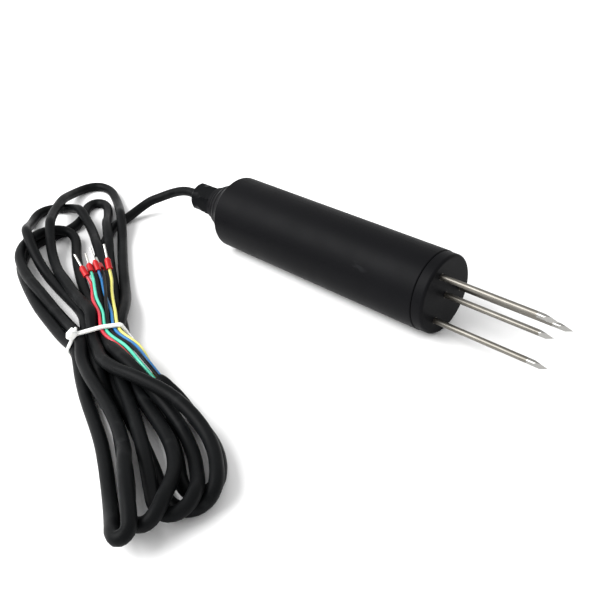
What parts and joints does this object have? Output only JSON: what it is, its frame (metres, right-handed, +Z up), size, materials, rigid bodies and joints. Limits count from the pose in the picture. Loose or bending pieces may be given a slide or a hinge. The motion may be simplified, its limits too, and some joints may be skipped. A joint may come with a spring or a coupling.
{
  "type": "soil moisture sensor",
  "caption": "Cylindrical soil moisture probe: sealed housing, steel needles, rear cable gland, and a tied cable hank with ferruled cores.",
  "frame": {"origin": "under the middle of the sensor lying on its side, on the surface it lies on", "axes": "+X along the housing's axis towards the needle tips, +Z up"},
  "size_m": [0.3348, 0.215, 0.042],
  "materials": {
    "housing_black": "satin",
    "seal_rubber": "matt",
    "needle_steel": "ground",
    "fastener_steel": "plated",
    "tag_tin": "tinned",
    "resin": "cast",
    "carrier_white": "moulded",
    "board_green": "solder mask",
    "chip_black": "moulded",
    "can_metal": "satin",
    "copper": "enamelled wire",
    "chip_ceramic": "fired",
    "block_green": "moulded",
    "lead_red": "insulated wire",
    "gland_black": "nylon",
    "cable_black": "extruded jacket",
    "tie_white": "nylon",
    "core_yellow": "core insulation",
    "core_blue": "core insulation",
    "core_black": "core insulation",
    "core_green": "core insulation",
    "core_red": "core insulation",
    "collar_red": "moulded",
    "pin_tin": "tin plated"
  },
  "bodies": {
    "sensor": {"housing_tube": "housing_black", "front_cap": "housing_black", "front_seal_ring": "seal_rubber", "rear_cap": "housing_black", "rear_seal_ring": "seal_rubber", "needle_centre": "needle_steel", "needle_upper": "needle_steel", "needle_right": "needle_steel", "needle_left": "needle_steel", "needle_nuts": "fastener_steel", "solder_tags": "tag_tin", "potting_resin": "resin", "board_carrier": "carrier_white", "circuit_board": "board_green", "board_screws": "fastener_steel", "microcontroller": "chip_black", "bus_transceiver": "chip_black", "voltage_regulator": "chip_black", "crystal": "can_metal", "electrolytic_capacitors": "can_metal", "toroid_inductor": "copper", "chip_parts": "chip_ceramic", "terminal_block": "block_green", "terminal_screws": "fastener_steel", "needle_leads": "lead_red", "inner_cores": "core_yellow", "inner_cable_tie": "tie_white", "cable_in_gland": "cable_black", "gland_gasket": "seal_rubber", "gland_body": "gland_black", "gland_locknut": "gland_black", "cable_lead": "cable_black", "cable_hank": "cable_black", "cable_tie": "tie_white", "core_yellow": "core_yellow", "core_blue": "core_blue", "core_black": "core_black", "core_green": "core_green", "core_red": "core_red", "collar_yellow": "collar_red", "collar_blue": "collar_red", "collar_black": "collar_red", "collar_green": "collar_red", "collar_red": "collar_red", "pin_yellow": "pin_tin", "pin_blue": "pin_tin", "pin_black": "pin_tin", "pin_green": "pin_tin", "pin_red": "pin_tin"},
    "clamp_insert": {"gland_cage": "gland_black", "gland_seal": "seal_rubber"},
    "dome_nut": {"gland_nut": "gland_black"}
  },
  "joints": [
    {"name": "insert_travel", "type": "slide", "parent": "sensor", "child": "clamp_insert", "axis": [-1, 0, 0], "range_m": [0, 0.005]},
    {"name": "nut_turn", "type": "hinge", "parent": "clamp_insert", "child": "dome_nut", "pos_m": [-0.11, 0, 0.021], "axis": [-1, 0, 0], "range_deg": [0, 1200]}
  ],
  "couplings": [
    {"joint": "insert_travel", "follows": "nut_turn", "m_per_rad": 0.00023873}
  ]
}
